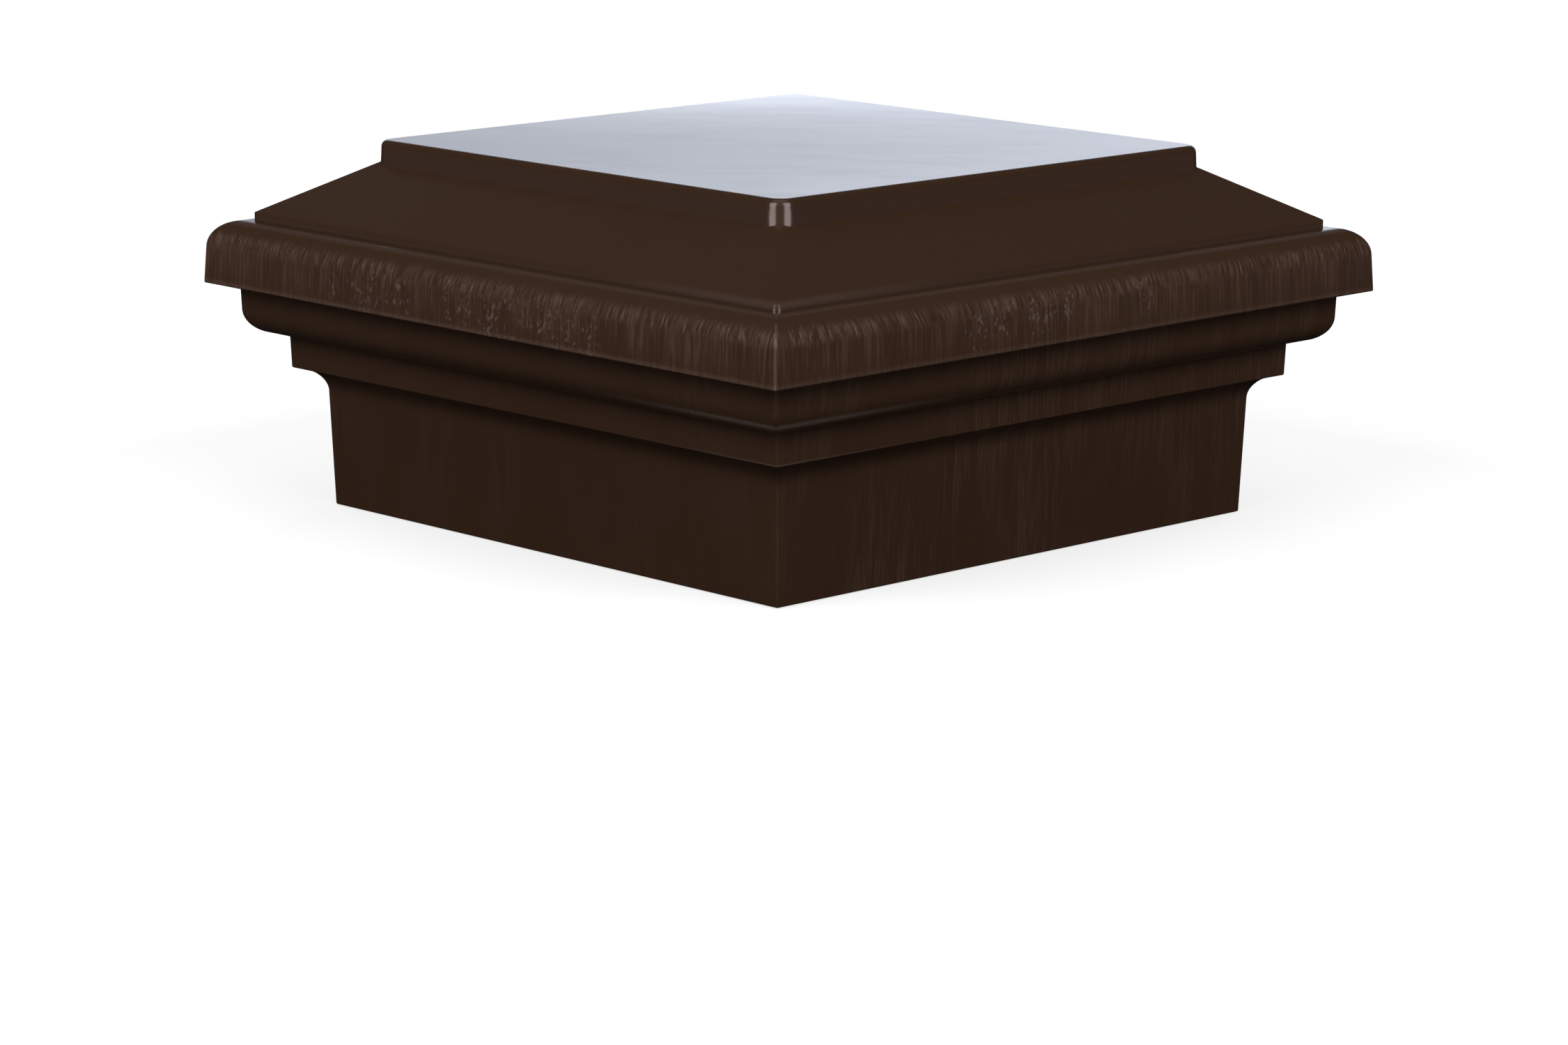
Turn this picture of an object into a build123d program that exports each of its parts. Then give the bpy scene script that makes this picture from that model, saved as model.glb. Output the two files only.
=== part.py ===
from build123d import *
from math import cos, radians, tan
import os

# Flat top post cap: one square moulding, hollow below, that drops over the end it covers.
# Millimetres. +Z is up, and the origin is the centre of the skirt's bottom rim.
# Half sizes run from the centre line to a side, and each height starts where the last ends.
os.makedirs("parts", exist_ok=True)

# Socket: a square pocket from below, and a narrower recess above the shoulder that stops it
covered_side = 88.9
socket_clearance = 1.15
socket_draft = 0.5
socket_corner = 1.0
stop_ledge = 5.0
recess_depth = 13.2

# Skirt: the plain lower wall, narrowest at its rim
skirt_wall = 2.4
skirt_height = 17.2
lower_draft = 2.0

# Cove and fillet band: a hollow quarter round, then a narrow upright band
cove_radius = 3.6
band_lip = 0.15
band_height = 5.2

# Ovolo: a band with a round lower edge, standing out over the fillet band
ovolo_radius = 3.75
ovolo_lip = 1.15
ovolo_height = 7.55

# Ring: the widest band, with a round shoulder and a narrow flat ledge on top
ring_overhang = 3.8
ring_height = 9.4
shoulder_radius = 4.05
ledge_width = 0.75
upper_draft = 3.0

# Hipped slope: a low upright foot on the ledge, then four flat slopes
foot_height = 1.13
foot_corner = 0.9
foot_edge_radius = 0.8
slope_angle = 30.0
slope_run = 12.75

# Flat top: a square plate edge with round corners
rim_height = 3.76
rim_corner = 2.8
rim_edge_radius = 1.0

# Wall over the recess, and the small radii that a mould leaves on mitred corners and lower edges
top_wall = 4.0
corner_break = 0.35
arris_radius = 0.25

# How far two volumes run into each other before they are joined or cut,
# an edge with no radius, and a side with no draft
overlap = 1.0
sharp = 0.0
upright = 0.0

lower_lean = tan(radians(lower_draft))
upper_lean = tan(radians(upper_draft))
slope_rise = tan(radians(slope_angle))

# Half widths and heights of the lower mouldings, from the rim up
skirt_rim = 0.0
skirt_bottom_half = covered_side / 2 + socket_clearance + skirt_wall
skirt_top_half = skirt_bottom_half + (skirt_height + cove_radius) * lower_lean
band_bottom = skirt_height + cove_radius
band_bottom_half = skirt_top_half + cove_radius + band_lip
band_top_half = band_bottom_half + band_height * lower_lean
ovolo_bottom = band_bottom + band_height
ovolo_bottom_half = band_top_half + ovolo_lip + ovolo_radius
ovolo_top_half = ovolo_bottom_half + ovolo_height * lower_lean
ring_bottom = ovolo_bottom + ovolo_height
ring_bottom_half = ovolo_top_half + ring_overhang
ring_top_half = ring_bottom_half - ring_height * upper_lean
ledge = ring_bottom + ring_height

# The slope stands on the ledge, and the flat top stands on the slope
foot_half = ring_top_half - shoulder_radius - ledge_width
foot_top = ledge + foot_height
foot_top_half = foot_half - foot_height * upper_lean
rim_half = foot_top_half - slope_run
rim_bottom = foot_top + slope_run * slope_rise
rim_top = rim_bottom + rim_height
slope_end_half = rim_half - rim_corner
slope_end = rim_bottom + rim_corner * slope_rise

# The socket ends at its shoulder, and the recess follows the slope and the flat top inside
ceiling = rim_top - top_wall
socket_depth = ceiling - recess_depth
socket_half = covered_side / 2 + socket_clearance
socket_end_half = socket_half - socket_depth * tan(radians(socket_draft))
recess_half = socket_end_half - stop_ledge
slope_wall_height = top_wall / cos(radians(slope_angle))
recess_side_top = rim_bottom + (rim_half - recess_half) * slope_rise - slope_wall_height
ceiling_half = recess_half - (ceiling - recess_side_top) / slope_rise


def mitred_body(rows):
    """Square solid with mitred corners, from rows of half width, height and edge radius."""
    right = [(half, height) for half, height, _ in rows]
    left = [(-half, height) for half, height, _ in reversed(rows)]
    radii = [radius for _, _, radius in rows]
    outline = make_face(FilletPolyline(*right, *left, radius=radii + radii[::-1], close=True))
    reach = max(half for half, _, _ in rows) + overlap
    across = extrude(Plane.XZ * outline, reach, both=True)
    along = extrude(Plane.YZ * outline, reach, both=True)
    return across & along


def square_prism(half, bottom, height, corner, draft):
    """Upright square prism with round corners that narrows upwards by the draft."""
    plate = RectangleRounded(2 * half, 2 * half, corner)
    return extrude(Plane.XY.offset(bottom) * plate, height, taper=draft)


def is_mitre(edge):
    """True for a straight corner edge that climbs from one height to another."""
    return abs((edge @ 1).Z - (edge @ 0).Z) > corner_break


def underside_arris(stack, height):
    """Outer edges of the flat underside at one height."""
    undersides = stack.faces().filter_by(Plane.XY)
    at_height = undersides.filter_by_position(Axis.Z, height - corner_break, height + corner_break)
    return at_height[0].outer_wire().edges()


def mouldings():
    """Everything below the ledge: skirt, cove, fillet band, ovolo and ring."""
    stack = mitred_body([
        (skirt_bottom_half, skirt_rim, sharp),
        (skirt_top_half, band_bottom, cove_radius),
        (band_bottom_half, band_bottom, sharp),
        (band_top_half, ovolo_bottom, sharp),
        (ovolo_bottom_half, ovolo_bottom, ovolo_radius),
        (ovolo_top_half, ring_bottom, sharp),
        (ring_bottom_half, ring_bottom, sharp),
        (ring_top_half, ledge, shoulder_radius),
    ])
    stack = fillet(stack.edges().filter_by(GeomType.LINE).filter_by(is_mitre), corner_break)
    arrises = ShapeList()
    for height in (skirt_rim, band_bottom, ring_bottom):
        arrises += underside_arris(stack, height)
    return fillet(arrises, arris_radius)


def hipped_slope():
    """The four slopes on their upright foot, with slightly round corners in plan."""
    slope = mitred_body([
        (foot_half, ledge, sharp),
        (foot_top_half, foot_top, foot_edge_radius),
        (slope_end_half, slope_end, sharp),
    ])
    return slope & square_prism(foot_half, ledge, slope_end - ledge, foot_corner, upright)


def flat_top():
    """The plate edge round the flat top, rooted a little way into the slope."""
    root_half = rim_half + overlap * upper_lean
    plate = square_prism(root_half, rim_bottom - overlap, overlap + rim_height, rim_corner, upper_draft)
    return fillet(plate.faces().sort_by(Axis.Z)[-1].edges(), rim_edge_radius)


def socket():
    """The pocket from below, and the recess that keeps the top an even wall."""
    pocket = square_prism(socket_half, skirt_rim, socket_depth, socket_corner, socket_draft)
    recess = mitred_body([
        (recess_half, socket_depth - overlap, sharp),
        (recess_half, recess_side_top, sharp),
        (ceiling_half, ceiling, sharp),
    ])
    return pocket + recess


post_cap = mouldings() + hipped_slope() + flat_top() - socket()
export_step(post_cap, "parts/post_cap.step")
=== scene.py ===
from math import pi, radians, tan

import bmesh
import bpy
from mathutils import Matrix, Vector

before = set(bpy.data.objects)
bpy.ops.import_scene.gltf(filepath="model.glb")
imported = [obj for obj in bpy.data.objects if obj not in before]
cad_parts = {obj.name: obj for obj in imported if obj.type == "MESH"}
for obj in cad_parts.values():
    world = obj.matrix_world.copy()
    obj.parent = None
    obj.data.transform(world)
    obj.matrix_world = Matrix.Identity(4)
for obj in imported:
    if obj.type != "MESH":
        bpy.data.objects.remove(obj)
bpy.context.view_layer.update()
scene = bpy.context.scene
scene.view_settings.view_transform = "Standard"

# The cap is one moulding in dark brown plastic, smooth and satin on its flat top and slopes.
# Its widest band, the ring, has a brushed grain that runs over the shoulder and down to the
# lower arris, and the bands and the skirt below it carry a fainter trace of the same grain.
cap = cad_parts["post_cap"]

# Heights above the skirt's rim, in metres: the ring's grain fades in and out between them
ring_bottom = 0.03355
arris_full = 0.0338
arris_fade = 0.0339
arris_top = 0.0346
strokes_start = 0.0384
streaks_top = 0.0385
shoulder_start = 0.0387
shoulder_full = 0.0396
strokes_full = 0.0402
grain_full = 0.0406
grain_start = 0.0419
top_edge = 0.0550

# How far out from the cap's centre line the ring's outside and the painted lip highlights begin
ring_inside = 0.0580
lip_highlight_inside = 0.0515

# The plastic: the roughness of its satin, its refraction, and the height of its full relief
satin_low = 0.16
satin_high = 0.19
refraction = 1.65
grain_height = 0.00010

brown = (0.033, 0.0165, 0.0090, 1.0)
grain_dark = (0.030, 0.0130, 0.0063, 1.0)
grain_light = (0.064, 0.0345, 0.0225, 1.0)
# Pale grain colour, which on the shoulder also paints the strokes' highlights
pale_grain_and_highlight = (0.074, 0.044, 0.0325, 1.0)
# Pale colour of real scuffs and dust, also used for painted highlights on the ring's corners and
# three lips
scuff_and_highlight_light = (0.15, 0.112, 0.094, 1.0)

plastic = bpy.data.materials.new("brown_satin_plastic")
plastic.use_nodes = True
tree = plastic.node_tree
surface = tree.nodes["Principled BSDF"]


def node(kind, **settings):
    """New node of one kind in the plastic, with its settings."""
    made = tree.nodes.new(kind)
    for name, value in settings.items():
        setattr(made, name, value)
    return made


def plug(source, socket):
    """Sets a socket to a plain number or colour, or links an output to it."""
    if isinstance(source, (int, float, tuple)):
        socket.default_value = source
    else:
        tree.links.new(source, socket)


def calculate(operation, first, second=0.0, third=0.0):
    """Output of a Math node."""
    made = node("ShaderNodeMath", operation=operation)
    for value, socket in zip((first, second, third), made.inputs):
        plug(value, socket)
    return made.outputs[0]


def ramp(value, low, high, start=0.0, end=1.0):
    """Smooth step of a value: start below low and end above high."""
    made = node("ShaderNodeMapRange", interpolation_type="SMOOTHSTEP")
    for number, socket in zip((value, low, high, start, end), made.inputs):
        plug(number, socket)
    return made.outputs[0]


def blend(share, first, second):
    """Colour that goes from the first to the second with the share."""
    made = node("ShaderNodeMix", data_type="RGBA")
    plug(share, made.inputs["Factor"])
    plug(first, made.inputs[6])
    plug(second, made.inputs[7])
    return made.outputs[2]


def noise(place, along, down, across, detail):
    """Noise with this many cells a metre along the side, down the side and from side to side."""
    octave_share = 0.55
    made = node("ShaderNodeTexNoise")
    stretch = node("ShaderNodeMapping")
    plug(place, stretch.inputs["Vector"])
    plug((along, down, across), stretch.inputs["Scale"])
    plug(stretch.outputs[0], made.inputs["Vector"])
    plug(1.0, made.inputs["Scale"])
    plug(detail, made.inputs["Detail"])
    plug(octave_share, made.inputs["Roughness"])
    return made.outputs["Fac"]


def mix(share, first, second):
    """Number that goes from the first to the second with the share."""
    made = node("ShaderNodeMix")
    plug(share, made.inputs[0])
    plug(first, made.inputs[2])
    plug(second, made.inputs[3])
    return made.outputs[0]


def multiply(*values):
    """Product of several values."""
    product = values[0]
    for value in values[1:]:
        product = calculate("MULTIPLY", product, value)
    return product


def apart(first, second):
    """How far two values are apart."""
    return calculate("ABSOLUTE", calculate("SUBTRACT", first, second))


def vector(first, second, third):
    """Vector of three values."""
    made = node("ShaderNodeCombineXYZ")
    for value, socket in zip((first, second, third), made.inputs):
        plug(value, socket)
    return made.outputs[0]


# Place on a side: along it, down its profile, and which of the four sides it is
place = node("ShaderNodeTexCoord").outputs["Object"]
split = node("ShaderNodeSeparateXYZ")
plug(place, split.inputs[0])
x, y, z = split.outputs
far_x = calculate("ABSOLUTE", x)
far_y = calculate("ABSOLUTE", y)
half = calculate("MAXIMUM", far_x, far_y)
mitre = apart(far_x, far_y)
on_x_side = calculate("GREATER_THAN", far_x, far_y)
along = mix(on_x_side, x, y)
facing = calculate("ADD", mix(on_x_side, y, x), on_x_side)
down = calculate("SUBTRACT", z, half)
side_place = vector(along, down, facing)

# Cells a metre from side to side, so that no side repeats the grain of another
side_step = 9.0

# The strokes on the shoulder lean towards the near corner, and close to a corner others cross
# them. A lean is how far a stroke goes sideways for each metre that it climbs.
least_lean = -0.55
lean_range = 1.6
hair_lean_share = 0.5
crossing_lean = -0.8
crossing_start = 0.030
crossing_full = 0.004
climb = calculate("MAXIMUM", calculate("SUBTRACT", z, shoulder_start), 0.0)
sway = noise(vector(along, 0.0, facing), 70.0, 1.0, side_step, detail=1.0)
towards_corner = mix(on_x_side, -1.0, 1.0)
lean = multiply(calculate("MULTIPLY_ADD", sway, lean_range, least_lean), towards_corner)
hair_lean = multiply(lean, hair_lean_share)
back_lean = multiply(towards_corner, crossing_lean)
stroke_place = vector(calculate("MULTIPLY_ADD", climb, lean, along), down, facing)
hair_place = vector(calculate("MULTIPLY_ADD", climb, hair_lean, along), down, facing)
crossing_place = vector(calculate("MULTIPLY_ADD", climb, back_lean, along), down, facing)
near_corner = ramp(mitre, crossing_full, crossing_start, 1.0, 0.0)

# The grain: short hairlines on the shoulder, and soft streaks of uneven length below it. The
# hairlines are strongest where a stroke runs under them.
bare_hairs = 0.35
stroke_gain = 0.65
fine_share = 0.8
wide_share = 0.25
hairs = noise(hair_place, 3200.0, 200.0, side_step, detail=1.0)
strokes = noise(stroke_place, 1500.0, 140.0, side_step, detail=1.0)
crossing = noise(crossing_place, 1700.0, 140.0, side_step, detail=1.0)
streaks = noise(side_place, 2700.0, 130.0, side_step, detail=2.0)
bands = noise(side_place, 420.0, 60.0, side_step, detail=1.0)
patches = noise(side_place, 110.0, 50.0, side_step, detail=1.0)
crossing_strokes = multiply(ramp(crossing, 0.48, 0.68), near_corner)
crossed = calculate("MAXIMUM", ramp(strokes, 0.44, 0.66), crossing_strokes)
fine_hairs = ramp(hairs, 0.36, 0.62, 0.08, 1.25)
hairlines = multiply(fine_hairs, calculate("MULTIPLY_ADD", crossed, stroke_gain, bare_hairs))
fine_streaks = multiply(ramp(streaks, 0.44, 0.66), fine_share)
wide_streaks = multiply(ramp(bands, 0.38, 0.62), wide_share)
fine_and_wide = calculate("ADD", fine_streaks, wide_streaks)

# Where the grain is: on the ring's outside, from high on its shoulder to its lower arris
raggedness = 0.0016
below_arris = ring_bottom - 0.0001
ragged = calculate("MULTIPLY_ADD", strokes, raggedness, z)
ragged_full = grain_full + raggedness / 2
ragged_start = grain_start + raggedness / 2
below_shoulder = ramp(ragged, ragged_full, ragged_start, 1.0, 0.0)
above_arris = calculate("GREATER_THAN", z, below_arris)
outside = calculate("GREATER_THAN", half, ring_inside)
on_ring = multiply(below_shoulder, above_arris, outside)
on_shoulder = ramp(z, shoulder_start, shoulder_full)
below_ring = calculate("LESS_THAN", z, below_arris)

# The grain's colour, partly its own and partly painted highlight: pale hairlines over the
# shoulder stand in for the gloss that the lamps give the strokes, and below it streaks that fade
# downwards. Where two strengths are given, the second is for the sides that face along X.
from_shoulder = ramp(z, strokes_start, strokes_full)
uneven = ramp(patches, 0.25, 0.7, 0.6, 1.0)
fading = ramp(z, ring_bottom, streaks_top, 0.45, 1.2)
faded_down = multiply(multiply(fine_and_wide, uneven), fading, mix(on_x_side, 0.85, 0.8))
grain_share = multiply(mix(from_shoulder, faded_down, hairlines), on_ring)
dark_share = multiply(on_ring, ramp(z, streaks_top, grain_full, 1.0, 0.3))
colour = blend(dark_share, brown, grain_dark)
colour = blend(grain_share, colour, blend(from_shoulder, grain_light, pale_grain_and_highlight))

# The ring's lower arris is paler, unevenly, and its mitred corners carry a faint painted highlight
paler_up_to = ramp(z, arris_fade, arris_top, 1.0, 0.0)
paler_unevenly = ramp(streaks, 0.2, 0.7, 0.4, 1.0)
arris = multiply(ramp(z, ring_bottom, arris_full), paler_up_to, on_ring, paler_unevenly)
colour = blend(multiply(arris, mix(on_x_side, 0.7, 0.45)), colour, pale_grain_and_highlight)
# Painted highlight: a faint pale line down each of the ring's mitred corners
corner_narrow = 0.0003
corner_wide = 0.0006
corner_highlight_paint = 0.04
corner_band = multiply(ramp(mitre, corner_narrow, corner_wide, 1.0, 0.0), on_ring)
colour = blend(multiply(corner_band, corner_highlight_paint), colour, scuff_and_highlight_light)

# The bands and the skirt below the ring have a faint trace of the streaks, in patches
in_patches = ramp(patches, 0.35, 0.65, 0.2, 1.0)
lower_grain = multiply(fine_and_wide, below_ring, in_patches, mix(on_x_side, 0.15, 0.38))
colour = blend(lower_grain, colour, pale_grain_and_highlight)

# Three narrow lips get a painted highlight towards the near corner, a pale line standing in for
# the light that their rounded edges catch: on the slope's foot, the ovolo and the fillet band,
# each with its height, how far the painted line reaches and how strong it is
lip_highlights = (
    (0.0437, 0.0008, 0.26),
    (0.0273, 0.0007, 1.0),
    (0.0209, 0.0004, 0.5),
)
near_start = 0.070
near_full = 0.112
lip_highlight_strength = 0.6
lip_highlight = 0.0
for level, reach, strength in lip_highlights:
    beside_lip = ramp(apart(z, level), 0.0, reach, strength, 0.0)
    lip_highlight = calculate("MAXIMUM", beside_lip, lip_highlight)
towards_near = ramp(calculate("SUBTRACT", x, y), near_start, near_full)
lip_highlight = multiply(lip_highlight, towards_near, calculate("GREATER_THAN", half, lip_highlight_inside))
colour = blend(multiply(lip_highlight, lip_highlight_strength), colour, scuff_and_highlight_light)

# Scuffs on the ring: ragged patches of tiny light specks on the two near sides. Each patch has
# its place along the side, its height, its side and its reach, all in metres, and the sides
# that face along X count one metre more.
ring_half = 0.0613
y_side = -ring_half
x_side = 1.0 + ring_half
scuff_wear = 0.45
patch_heart = 0.2
scuff_places = (
    (-0.0290, 0.0370, y_side, 0.0045),
    (-0.0235, 0.0374, y_side, 0.0055),
    (-0.0170, 0.0368, y_side, 0.0055),
    (-0.0030, 0.0370, y_side, 0.0055),
    (0.0060, 0.0364, y_side, 0.0070),
    (0.0150, 0.0360, y_side, 0.0070),
    (0.0230, 0.0356, y_side, 0.0060),
    (-0.0230, 0.0372, x_side, 0.0040),
    (-0.0180, 0.0382, x_side, 0.0045),
    (-0.0110, 0.0382, x_side, 0.0050),
    (-0.0050, 0.0386, x_side, 0.0040),
    (0.0110, 0.0388, x_side, 0.0035),
)
specks = noise(side_place, 2300.0, 1400.0, side_step, detail=0.0)
ragged_edge = noise(place, 420.0, 420.0, 420.0, detail=2.0)
scuffed = 0.0
for beside, level, side, reach in scuff_places:
    away = node("ShaderNodeVectorMath", operation="DISTANCE")
    plug(vector(along, z, facing), away.inputs[0])
    plug((beside, level, side), away.inputs[1])
    patch = ramp(away.outputs["Value"], reach * patch_heart, reach, 1.0, 0.0)
    scuffed = calculate("MAXIMUM", patch, scuffed)
scuffed = multiply(scuffed, ramp(ragged_edge, 0.40, 0.55), on_ring)
scuff_share = multiply(ramp(specks, 0.52, 0.78), scuffed)
colour = blend(multiply(scuff_share, scuff_wear), colour, scuff_and_highlight_light)

# A little fine dust on the flat top
dust_share = 0.15
on_top = calculate("GREATER_THAN", z, top_edge)
dust = noise(place, 900.0, 900.0, 900.0, detail=1.0)
colour = blend(multiply(ramp(dust, 0.70, 0.76), on_top, dust_share), colour, scuff_and_highlight_light)
plug(colour, surface.inputs["Base Color"])

# Roughness: satin with slow clouds, a little rougher on the ring and in smears on the flat
# top, and roughest on the ring's mitred corners
cloud_cells = 38.0
cloud_detail = 4.0
ring_rougher = 0.02
smear_rougher = 0.035
corner_rougher = 0.35
clouds = node("ShaderNodeTexNoise")
plug(place, clouds.inputs["Vector"])
plug(cloud_cells, clouds.inputs["Scale"])
plug(cloud_detail, clouds.inputs["Detail"])
satin = ramp(clouds.outputs["Fac"], 0.3, 0.7, satin_low, satin_high)
smear_place = node("ShaderNodeMapping")
plug(place, smear_place.inputs["Vector"])
plug((0.0, 0.0, radians(-45.0)), smear_place.inputs["Rotation"])
smears = noise(smear_place.outputs[0], 50.0, 120.0, 1.0, detail=2.0)
smeared = multiply(ramp(smears, 0.35, 0.70), on_top)
rough = calculate("MULTIPLY_ADD", on_ring, ring_rougher, satin)
rough = calculate("MULTIPLY_ADD", smeared, smear_rougher, rough)
rough = calculate("MULTIPLY_ADD", corner_band, corner_rougher, rough)
plug(rough, surface.inputs["Roughness"])

# The ring's mitred corners are duller, apart from a thin line of gloss down the middle
plain_gloss = 0.5
line_gain = 0.25
corner_gain = -0.4
corner_line = multiply(ramp(mitre, 0.0, corner_narrow, 1.0, 0.0), on_ring)
gloss = calculate("MULTIPLY_ADD", corner_line, line_gain, plain_gloss)
gloss = calculate("MULTIPLY_ADD", corner_band, corner_gain, gloss)
plug(gloss, surface.inputs["Specular IOR Level"])

# Relief: the streaks and the shoulder's strokes stand a little proud, with a trace on
# everything below the ring, and the ring's corners are left smooth
streak_relief = 0.40
stroke_relief = 0.19
lower_relief = 0.04
smooth_corner = 0.0004
full_relief = 0.0012
streaks_proud = multiply(streaks, streak_relief)
strokes_proud = multiply(hairlines, stroke_relief)
off_corner = ramp(mitre, smooth_corner, full_relief)
relief = multiply(mix(on_shoulder, streaks_proud, strokes_proud), on_ring, off_corner)
relief = calculate("ADD", relief, multiply(streaks, below_ring, lower_relief))
bump = node("ShaderNodeBump")
plug(grain_height, bump.inputs["Distance"])
plug(1.0, bump.inputs["Strength"])
plug(relief, bump.inputs["Height"])
plug(bump.outputs[0], surface.inputs["Normal"])
plug(refraction, surface.inputs["IOR"])

cap.data.materials[0] = plastic

# The floor is a small round white table. It is white to the camera, where it keeps the cap's
# shadow, and dark to the light that bounces, as the real cap stands high above anything pale.
# It is clear from below, so that the socket can be seen.
table_radius = 0.34
table_bounce = 0.01
table_glow = 0.62
table_shade = 0.42
table_drop = 0.0001

disc = bmesh.new()
bmesh.ops.create_circle(disc, cap_ends=True, segments=96, radius=table_radius)
table_mesh = bpy.data.meshes.new("table")
disc.to_mesh(table_mesh)
disc.free()
table = bpy.data.objects.new("table", table_mesh)
table.location = (0.0, 0.0, -table_drop)
scene.collection.objects.link(table)

paper = bpy.data.materials.new("white_paper")
paper.use_nodes = True
paper_nodes = paper.node_tree.nodes
paper_links = paper.node_tree.links
paper_nodes.remove(paper_nodes["Principled BSDF"])
seen = paper_nodes.new("ShaderNodeLightPath")
bounce = paper_nodes.new("ShaderNodeBsdfDiffuse")
bounce.inputs["Color"].default_value = (table_bounce, table_bounce, table_bounce, 1.0)
shade = paper_nodes.new("ShaderNodeBsdfDiffuse")
shade.inputs["Color"].default_value = (table_shade, table_shade, table_shade, 1.0)
glow = paper_nodes.new("ShaderNodeEmission")
glow.inputs["Strength"].default_value = table_glow
white = paper_nodes.new("ShaderNodeAddShader")
paper_links.new(shade.outputs[0], white.inputs[0])
paper_links.new(glow.outputs[0], white.inputs[1])
pick = paper_nodes.new("ShaderNodeMixShader")
paper_links.new(seen.outputs["Is Camera Ray"], pick.inputs[0])
paper_links.new(bounce.outputs[0], pick.inputs[1])
paper_links.new(white.outputs[0], pick.inputs[2])
underside = paper_nodes.new("ShaderNodeNewGeometry")
clear = paper_nodes.new("ShaderNodeBsdfTransparent")
from_above = paper_nodes.new("ShaderNodeMixShader")
paper_links.new(underside.outputs["Backfacing"], from_above.inputs[0])
paper_links.new(pick.outputs[0], from_above.inputs[1])
paper_links.new(clear.outputs[0], from_above.inputs[2])
paper_output = paper_nodes["Material Output"]
paper_links.new(from_above.outputs[0], paper_output.inputs["Surface"])
table_mesh.materials.append(paper)

# The lamps are soft boxes, each placed by its direction from the cap and the angle that it fills.
# A tall card on each near side shows in the gloss, and the light on the plain colour comes from
# the same two sides, most of it from halfway up. A small box in the socket's mouth lights the
# inside, which the table would leave black from below.
front = 46.0
lamp_distance = 1.3
aim_height = 0.035
white_light = (1.0, 1.0, 1.0)
warm = (1.0, 0.84, 0.82)


def soft_box(name, azimuth, elevation, wide, high, glow, only=None,
             distance=lamp_distance, colour=white_light):
    """Rectangular lamp that faces the cap. Wide and high are the angles that it fills, in degrees,
    and only keeps its light to the gloss or to the plain colour."""
    lamp = bpy.data.lights.new(name, "AREA")
    lamp.shape = "RECTANGLE"
    lamp.size = 2 * distance * tan(radians(wide / 2))
    lamp.size_y = 2 * distance * tan(radians(high / 2))
    lamp.energy = glow * lamp.size * lamp.size_y * pi
    lamp.color = colour
    holder = bpy.data.objects.new(name, lamp)
    scene.collection.objects.link(holder)
    turn = (Matrix.Rotation(radians(azimuth), 4, "Z")
            @ Matrix.Rotation(radians(90 - elevation), 4, "X"))
    middle = Matrix.Translation((0, 0, aim_height))
    holder.matrix_world = middle @ turn @ Matrix.Translation((0, 0, distance))
    holder.visible_camera = False
    holder.visible_glossy = only != "colour"
    holder.visible_diffuse = only != "gloss"


for side, beside, share in (("left", -45.5, 1.0), ("right", 42.0, 0.92)):
    azimuth = front + beside
    soft_box(side + "_card", azimuth, 19.0, 40.0, 54.0, 3.4, only="gloss", colour=warm)
    soft_box(side + "_low_box", azimuth, 6.0, 44.0, 28.0, 1.7 * share, only="colour")
    soft_box(side + "_high_box", azimuth, 33.0, 44.0, 26.0, 6.0 * share, only="colour")
soft_box("front_card", front - 2.0, 19.0, 46.0, 54.0, 0.22, only="gloss", colour=warm)
soft_box("overhead_box", front, 84.0, 50.0, 50.0, 0.4)
soft_box("back_high_card", front + 181.0, 31.0, 52.0, 22.0, 0.08, only="gloss", colour=warm)
for beside in (-90.0, 90.0):
    soft_box("side_card", front + beside, -4.0, 44.0, 16.0, 0.07, only="gloss", colour=warm)
for beside in (-139.0, 139.0):
    soft_box("back_box", front + beside, 14.0, 44.0, 26.0, 4.0, only="colour")
soft_box("socket_box", 0.0, -90.0, 102.0, 102.0, 1.0, only="colour", distance=0.034)

# The cards behind the cap are a cool white, and they are what the flat top reflects. The wall
# brightens to the right, the low card close behind brightens the flat top's far corner, and the
# middle card above the low one brightens the near corner.
cool_white = (0.815, 0.875, 1.0, 1.0)
cards = bpy.data.materials.new("cool_white_card")
cards.use_nodes = True
card_nodes = cards.node_tree.nodes
card_links = cards.node_tree.links
card_nodes.remove(card_nodes["Principled BSDF"])
card_glow = card_nodes.new("ShaderNodeAttribute")
card_glow.attribute_name = "glow"
card_light = card_nodes.new("ShaderNodeEmission")
card_light.inputs["Color"].default_value = cool_white
card_links.new(card_glow.outputs["Fac"], card_light.inputs["Strength"])
card_output = card_nodes["Material Output"]
card_links.new(card_light.outputs[0], card_output.inputs["Surface"])


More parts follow.
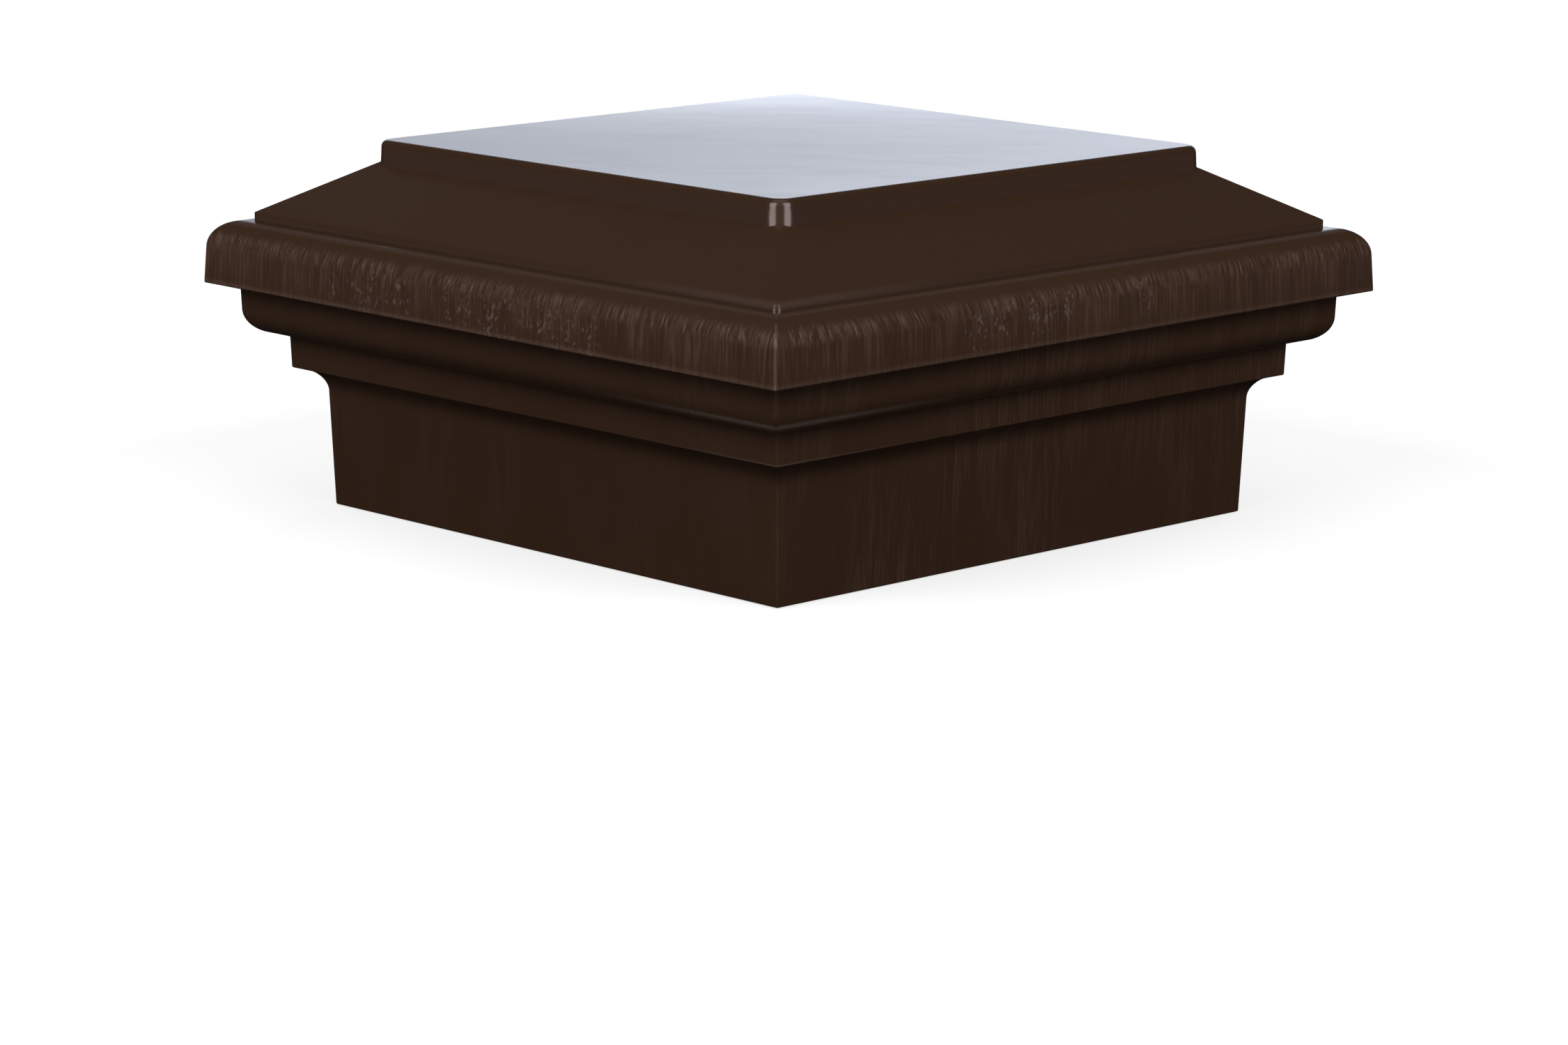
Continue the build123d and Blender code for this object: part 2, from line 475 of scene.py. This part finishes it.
def reflector(name, distance, wide, low, high, glows):
    """Upright card behind the cap that only gloss sees, with a glow for each of its corners:
    low left, low right, high left and high right."""
    card = bmesh.new()
    glow_layer = card.verts.layers.float.new("glow")
    bmesh.ops.create_grid(card, x_segments=1, y_segments=1, size=0.5)
    for corner in card.verts:
        corner[glow_layer] = glows[2 * (corner.co.y > 0) + (corner.co.x > 0)]
    size = Matrix.Diagonal((wide, high - low, 1.0, 1.0))
    upright = Matrix.Rotation(radians(90), 4, "X")
    stand = Matrix.Translation((0, distance, (low + high) / 2))
    turn = Matrix.Rotation(radians(front), 4, "Z")
    bmesh.ops.transform(card, matrix=turn @ stand @ upright @ size, verts=card.verts)
    mesh = bpy.data.meshes.new(name)
    card.to_mesh(mesh)
    card.free()
    mesh.materials.append(cards)
    holder = bpy.data.objects.new(name, mesh)
    scene.collection.objects.link(holder)
    holder.visible_camera = False
    holder.visible_diffuse = False
    holder.visible_shadow = False


reflector("back_wall", 1.3, 1.4, -0.08, 0.50, (0.00, 2.30, 0.00, 2.30))
reflector("back_low_card", 0.11, 0.17, 0.0555, 0.0645, (5.4, 5.4, 0.8, 0.8))
reflector("back_middle_card", 0.12, 0.17, 0.0725, 0.10, (0.58, 1.33, 2.08, 2.83))

# The room round the lamps is white to the camera, dark in the cap's gloss, and a soft fill
# for its plain colour.
room_fill = 0.10
room_gloss = 0.02
room_white = (1.0, 1.0, 1.0, 1.0)
world = bpy.data.worlds.new("studio")
world.use_nodes = True
scene.world = world
room = world.node_tree.nodes
room_links = world.node_tree.links
ray = room.new("ShaderNodeLightPath")
fill = room.new("ShaderNodeMath")
fill.operation = "MULTIPLY_ADD"
fill.inputs[1].default_value = room_fill
fill.inputs[2].default_value = room_gloss
room_links.new(ray.outputs["Is Diffuse Ray"], fill.inputs[0])
strength = room.new("ShaderNodeMath")
strength.operation = "MAXIMUM"
room_links.new(ray.outputs["Is Camera Ray"], strength.inputs[0])
room_links.new(fill.outputs[0], strength.inputs[1])
room_links.new(strength.outputs[0], room["Background"].inputs["Strength"])
room["Background"].inputs["Color"].default_value = room_white

# The camera looks at the near corner from a little above, with a long lens.
camera_elevation = 11.917
camera_azimuth = 46.046
camera_roll = 0.259
camera_distance = 0.7273
aim = Vector((0.0001, -0.0006, -0.0022))
camera_data = bpy.data.cameras.new("camera")
camera_data.sensor_width = 36.0
camera_data.lens = 111.14
camera_data.clip_start = 0.05
camera_data.clip_end = 20.0
camera = bpy.data.objects.new("camera", camera_data)
scene.collection.objects.link(camera)
turn = (Matrix.Rotation(radians(camera_azimuth), 4, "Z")
        @ Matrix.Rotation(radians(90 - camera_elevation), 4, "X"))
roll = Matrix.Rotation(radians(camera_roll), 4, "Z")
step_back = Matrix.Translation((0, 0, camera_distance))
camera.matrix_world = Matrix.Translation(aim) @ turn @ roll @ step_back
scene.camera = camera
